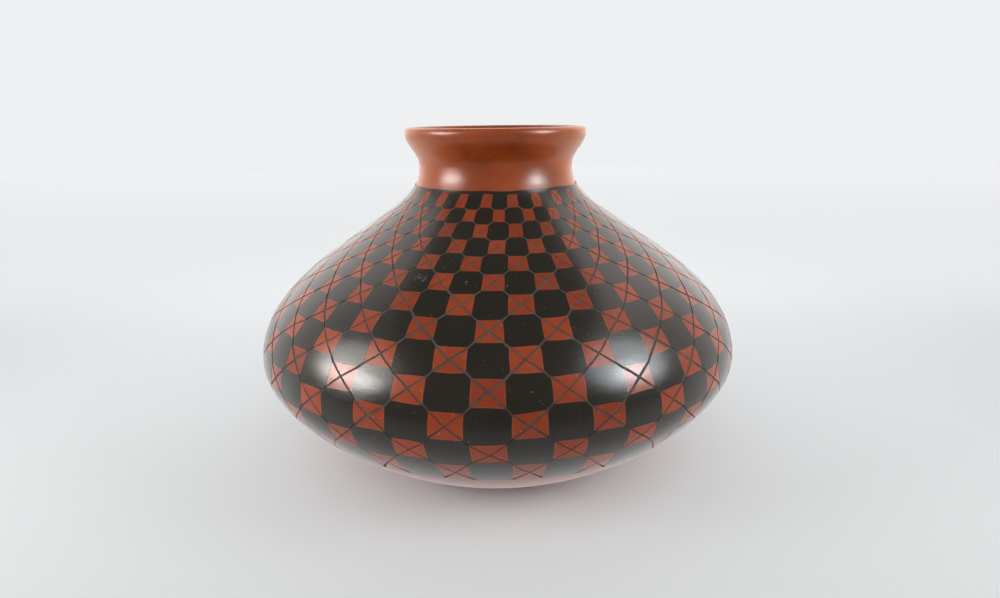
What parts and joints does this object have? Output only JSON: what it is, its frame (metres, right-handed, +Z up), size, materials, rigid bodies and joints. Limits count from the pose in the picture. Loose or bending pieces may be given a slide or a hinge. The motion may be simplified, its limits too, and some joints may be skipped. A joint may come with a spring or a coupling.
{
  "type": "pueblo pottery jar",
  "caption": "Wide-bellied hand-built pottery jar with a short flared neck, burnished red slip and a checkerboard of black painted squares crossed by incised lines.",
  "frame": {"origin": "centre of the flat foot, on the surface that the jar stands on", "axes": "+Z up along the jar's axis; the pictured front faces -Y and +X is to the right of it"},
  "size_m": [0.18, 0.18, 0.1249],
  "materials": {
    "fired_clay": "scraped and smoothed low-fired clay, matte",
    "red_slip": "stone-burnished red slip, satin to glossy",
    "tan_slip": "stone-burnished orange-brown slip, glossy",
    "black_paint": "stone-burnished black mineral paint, glossy"
  },
  "bodies": {
    "root": {"base_dish": "fired_clay", "lower_wall_coil_1": "fired_clay", "lower_wall_coil_2": "fired_clay", "belly_coil": "fired_clay", "shoulder_coil_1": "fired_clay", "shoulder_coil_2": "fired_clay", "shoulder_coil_3": "fired_clay", "shoulder_coil_4": "fired_clay", "shoulder_coil_5": "fired_clay", "neck_coil": "fired_clay", "rim_coil": "fired_clay", "body_red_slip": "red_slip", "neck_tan_slip": "tan_slip", "black_border_line": "black_paint", "black_squares_row_01": "black_paint", "black_squares_row_02": "black_paint", "black_squares_row_03": "black_paint", "black_squares_row_04": "black_paint", "black_squares_row_05": "black_paint", "black_squares_row_06": "black_paint", "black_squares_row_07": "black_paint", "black_squares_row_08": "black_paint", "black_squares_row_09": "black_paint", "black_squares_row_10": "black_paint", "black_squares_row_11": "black_paint", "black_squares_row_12": "black_paint", "black_squares_row_13": "black_paint"}
  },
  "joints": []
}
